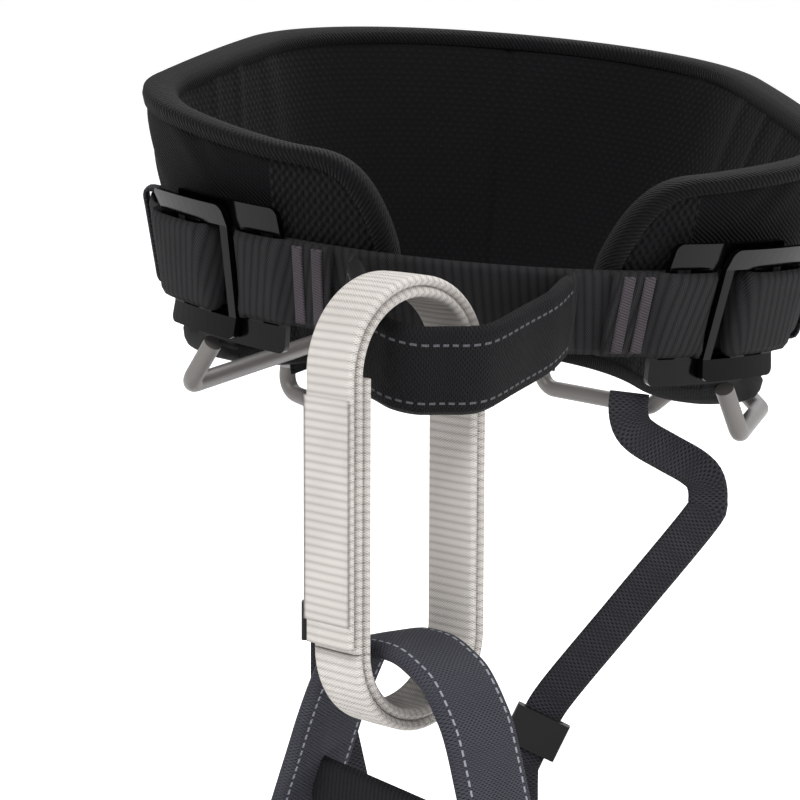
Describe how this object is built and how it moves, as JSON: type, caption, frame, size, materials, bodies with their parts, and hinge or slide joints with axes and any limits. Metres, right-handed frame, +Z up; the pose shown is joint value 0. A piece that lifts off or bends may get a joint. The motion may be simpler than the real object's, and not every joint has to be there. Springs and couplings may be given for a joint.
{
  "type": "climbing harness",
  "caption": "Padded waist belt with folded webbing buckles, sleeved tie-in loops, sewn belay loop, gear loops, risers and two padded leg loops.",
  "frame": {"origin": "middle of the waist opening, at mid height of the waist webbing", "axes": "+Z up the wearer's body, -Y to the wearer's front, +X to the wearer's left"},
  "size_m": [0.2788, 0.3166, 0.3327],
  "materials": {
    "pad_lining": "spacer mesh",
    "pad_foam": "closed-cell foam",
    "pad_shell": "fine twill",
    "pad_binding": "woven tape",
    "webbing": "ribbed webbing",
    "sleeve": "tough woven sleeve",
    "lower_sleeve": "tough woven sleeve",
    "belay_webbing": "off-white webbing",
    "stitching": "dense thread",
    "riser_elastic": "elastic tape",
    "buckle_steel": "glossy dark",
    "gear_tube": "satin",
    "small_plastic": "satin"
  },
  "bodies": {
    "waist_belt": {"waist_mesh_lining": "pad_lining", "waist_foam": "pad_foam", "waist_outer_shell": "pad_shell", "waist_binding": "pad_binding", "waist_webbing": "webbing", "front_webbing": "webbing", "waist_bar_tacks": "stitching", "left_strap_tail": "webbing", "right_strap_tail": "webbing", "left_buckle_frame": "buckle_steel", "right_buckle_frame": "buckle_steel", "tie_in_webbing": "webbing", "tie_in_sleeve": "sleeve", "gear_loop_tabs": "webbing", "haul_loop_tabs": "webbing", "riser_anchors": "webbing"},
    "left_waist_slider": {"left_buckle_slider": "buckle_steel"},
    "left_waist_keeper": {"left_strap_keeper": "webbing"},
    "right_waist_slider": {"right_buckle_slider": "buckle_steel"},
    "right_waist_keeper": {"right_strap_keeper": "webbing"},
    "belay_ring": {"belay_outer_wrap": "belay_webbing", "belay_middle_wrap": "belay_webbing", "belay_inner_wrap": "belay_webbing", "belay_stitching": "stitching"},
    "lower_bridge": {"lower_tie_in_webbing": "webbing", "lower_tie_in_sleeve": "lower_sleeve", "leg_cross_strap": "webbing", "left_bridge": "webbing", "right_bridge": "webbing"},
    "left_leg": {"left_leg_lining": "pad_lining", "left_leg_foam": "pad_foam", "left_leg_shell": "pad_shell", "left_leg_binding": "pad_binding", "left_leg_webbing": "webbing", "left_leg_tail": "webbing", "left_leg_buckle_frame": "buckle_steel", "left_leg_hook_tab": "webbing"},
    "left_leg_slider": {"left_leg_buckle_slider": "buckle_steel"},
    "left_leg_keeper_band": {"left_leg_keeper": "webbing"},
    "left_riser_strap": {"riser_left": "riser_elastic", "riser_hook_left": "small_plastic"},
    "left_riser_buckle": {"riser_adjuster_left": "small_plastic"},
    "left_gear_tube": {"gear_loop_left": "gear_tube"},
    "right_leg": {"right_leg_lining": "pad_lining", "right_leg_foam": "pad_foam", "right_leg_shell": "pad_shell", "right_leg_binding": "pad_binding", "right_leg_webbing": "webbing", "right_leg_tail": "webbing", "right_leg_buckle_frame": "buckle_steel", "right_leg_hook_tab": "webbing"},
    "right_leg_slider": {"right_leg_buckle_slider": "buckle_steel"},
    "right_leg_keeper_band": {"right_leg_keeper": "webbing"},
    "right_riser_strap": {"riser_right": "riser_elastic", "riser_hook_right": "small_plastic"},
    "right_riser_buckle": {"riser_adjuster_right": "small_plastic"},
    "right_gear_tube": {"gear_loop_right": "gear_tube"},
    "haul_tape": {"haul_loop": "webbing"}
  },
  "joints": [
    {"name": "belay_ring_swing", "type": "hinge", "parent": "waist_belt", "child": "belay_ring", "pos_m": [-0.01579, -0.14249, -0.0117], "axis": [0.7391, -0.6655, 0.1045], "range_deg": [-12, 12]},
    {"name": "lower_bridge_swing", "type": "hinge", "parent": "belay_ring", "child": "lower_bridge", "pos_m": [-0.01021, -0.14751, -0.0832], "axis": [0.7391, -0.6655, 0.1045], "range_deg": [-12, 12]},
    {"name": "left_leg_swing", "type": "hinge", "parent": "lower_bridge", "child": "left_leg", "pos_m": [0.02197, -0.11574, -0.21143], "axis": [0.0339, 0.9988, -0.0348], "range_deg": [-6, 6]},
    {"name": "right_leg_swing", "type": "hinge", "parent": "lower_bridge", "child": "right_leg", "pos_m": [-0.02197, -0.11574, -0.21143], "axis": [-0.0339, 0.9988, -0.0348], "range_deg": [-6, 6]},
    {"name": "left_riser_swing", "type": "hinge", "parent": "waist_belt", "child": "left_riser_strap", "pos_m": [0.05, 0.05, -0.055], "axis": [0.7391, -0.6655, 0.1045], "range_deg": [-8, 8]},
    {"name": "right_riser_swing", "type": "hinge", "parent": "waist_belt", "child": "right_riser_strap", "pos_m": [-0.05, 0.05, -0.055], "axis": [0.7391, -0.6655, 0.1045], "range_deg": [-8, 8]},
    {"name": "left_riser_adjust", "type": "slide", "parent": "left_riser_strap", "child": "left_riser_buckle", "axis": [-0.3511, -0.1027, -0.9307], "range_m": [-0.005, 0.005]},
    {"name": "right_riser_adjust", "type": "slide", "parent": "right_riser_strap", "child": "right_riser_buckle", "axis": [0.0797, -0.1094, -0.9908], "range_m": [-0.015, 0.015]},
    {"name": "left_waist_slider_shift", "type": "hinge", "parent": "waist_belt", "child": "left_waist_slider", "pos_m": [0, -0.0024, 0], "axis": [0, 0, 1], "range_deg": [0, 2]},
    {"name": "right_waist_slider_shift", "type": "hinge", "parent": "waist_belt", "child": "right_waist_slider", "pos_m": [0, -0.0024, 0], "axis": [0, 0, -1], "range_deg": [0, 2]},
    {"name": "left_waist_keeper_shift", "type": "hinge", "parent": "waist_belt", "child": "left_waist_keeper", "pos_m": [0.044, -0.038, 0], "axis": [0, 0, 1], "range_deg": [-8, 8]},
    {"name": "right_waist_keeper_shift", "type": "hinge", "parent": "waist_belt", "child": "right_waist_keeper", "pos_m": [-0.044, -0.038, 0], "axis": [0, 0, -1], "range_deg": [-8, 8]},
    {"name": "left_leg_slider_shift", "type": "hinge", "parent": "left_leg", "child": "left_leg_slider", "pos_m": [0.072, -0.07454, -0.22479], "axis": [0, 0.1736, 0.9848], "range_deg": [0, 2.3]},
    {"name": "right_leg_slider_shift", "type": "hinge", "parent": "right_leg", "child": "right_leg_slider", "pos_m": [-0.072, -0.07454, -0.22479], "axis": [0, -0.1736, -0.9848], "range_deg": [0, 2.3]},
    {"name": "left_leg_keeper_slide", "type": "slide", "parent": "left_leg", "child": "left_leg_keeper_band", "axis": [0, 0.9848, -0.1736], "range_m": [-0.006, 0.006]},
    {"name": "right_leg_keeper_slide", "type": "slide", "parent": "right_leg", "child": "right_leg_keeper_band", "axis": [0, 0.9848, -0.1736], "range_m": [-0.006, 0.006]},
    {"name": "left_gear_loop_swing", "type": "hinge", "parent": "waist_belt", "child": "left_gear_tube", "pos_m": [0.07292, -0.0768, -0.0235], "axis": [-0.3059, 0.9341, -0.1841], "range_deg": [-5, 5]},
    {"name": "right_gear_loop_swing", "type": "hinge", "parent": "waist_belt", "child": "right_gear_tube", "pos_m": [-0.07292, -0.0768, -0.0235], "axis": [0.0865, 0.9635, -0.2532], "range_deg": [-5, 10]},
    {"name": "haul_loop_swing", "type": "hinge", "parent": "waist_belt", "child": "haul_tape", "pos_m": [0, 0.10082, 0.017], "axis": [0, -0.2248, -0.9744], "range_deg": [-12, 12]}
  ],
  "couplings": [
    {"joint": "lower_bridge_swing", "follows": "belay_ring_swing", "ratio": -1},
    {"joint": "left_riser_swing", "follows": "belay_ring_swing", "ratio": 0.423},
    {"joint": "right_riser_swing", "follows": "belay_ring_swing", "ratio": 0.423}
  ]
}
